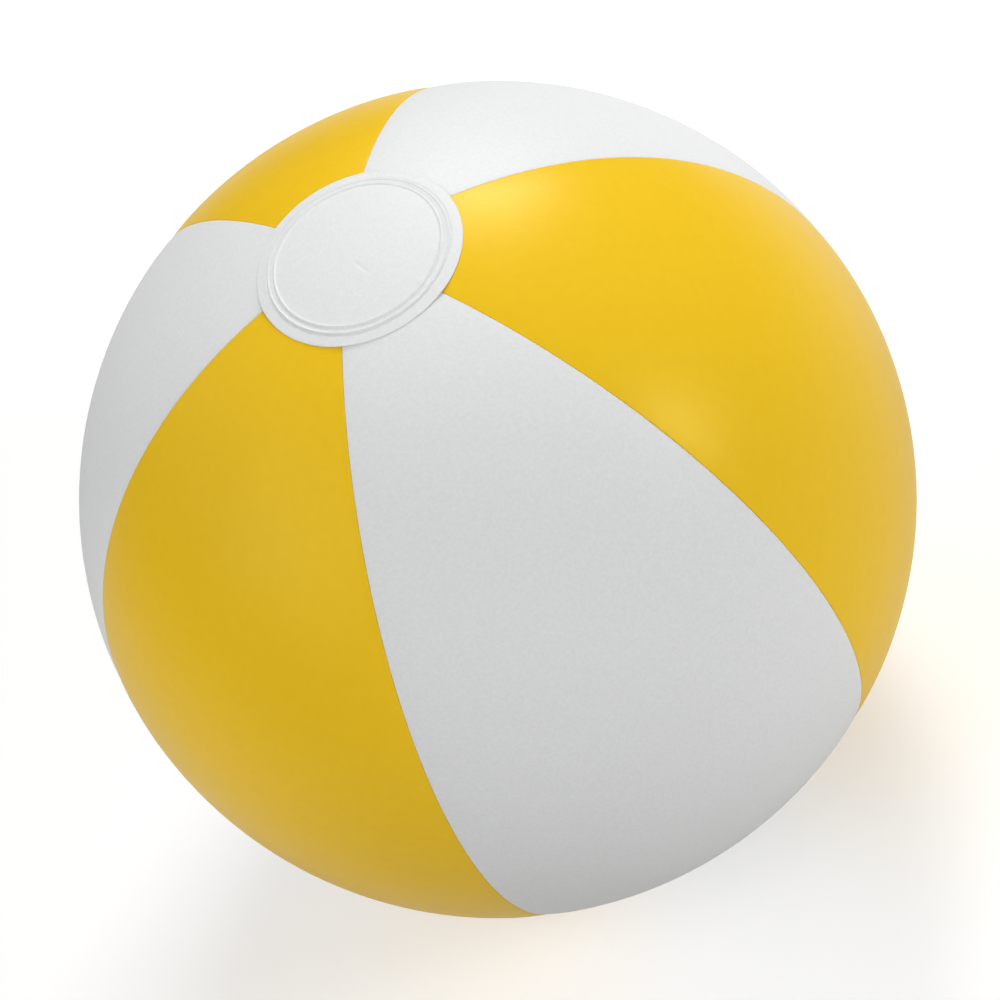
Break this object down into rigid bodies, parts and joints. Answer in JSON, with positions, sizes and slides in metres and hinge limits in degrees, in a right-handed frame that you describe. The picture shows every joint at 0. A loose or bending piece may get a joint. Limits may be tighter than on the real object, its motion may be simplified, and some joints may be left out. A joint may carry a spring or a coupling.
{
  "type": "inflatable beach ball",
  "caption": "Inflated round ball of alternating yellow and white film panels, with a white disc at each pole and a push-in valve with a tethered plug.",
  "frame": {"origin": "centre of the inflated ball", "axes": "+Z along the polar axis, out through the top disc; +Y out along the valve's own axis; -Y through the middle of the front white panel"},
  "size_m": [0.28, 0.2814, 0.2804],
  "materials": {
    "yellow_film": "satin",
    "white_film": "satin",
    "valve_vinyl": "gloss"
  },
  "bodies": {
    "ball": {"white_panel_front": "white_film", "yellow_panel_front_right": "yellow_film", "white_panel_rear_right": "white_film", "yellow_panel_rear": "yellow_film", "white_panel_rear_left": "white_film", "yellow_panel_front_left": "yellow_film", "top_disc": "white_film", "bottom_disc": "white_film", "valve_flange": "valve_vinyl", "valve_skirt": "valve_vinyl"},
    "stem": {"valve_stem": "valve_vinyl", "plug_tether": "valve_vinyl"},
    "plug": {"valve_plug": "valve_vinyl"},
    "flap": {"check_flap": "valve_vinyl"}
  },
  "joints": [
    {"name": "valve_pop", "type": "slide", "parent": "ball", "child": "stem", "axis": [0, 1, 0], "range_m": [0, 0.0116], "deforming": ["valve_skirt"]},
    {"name": "plug_hinge", "type": "hinge", "parent": "stem", "child": "plug", "pos_m": [0, 0.1402, 0.0079], "axis": [1, 0, 0], "range_deg": [0, 150]},
    {"name": "flap_hinge", "type": "hinge", "parent": "stem", "child": "flap", "pos_m": [0, 0.12615, 0.0048], "axis": [-1, 0, 0], "range_deg": [0, 60], "stiffness_Nm_per_rad": 0.00002}
  ]
}
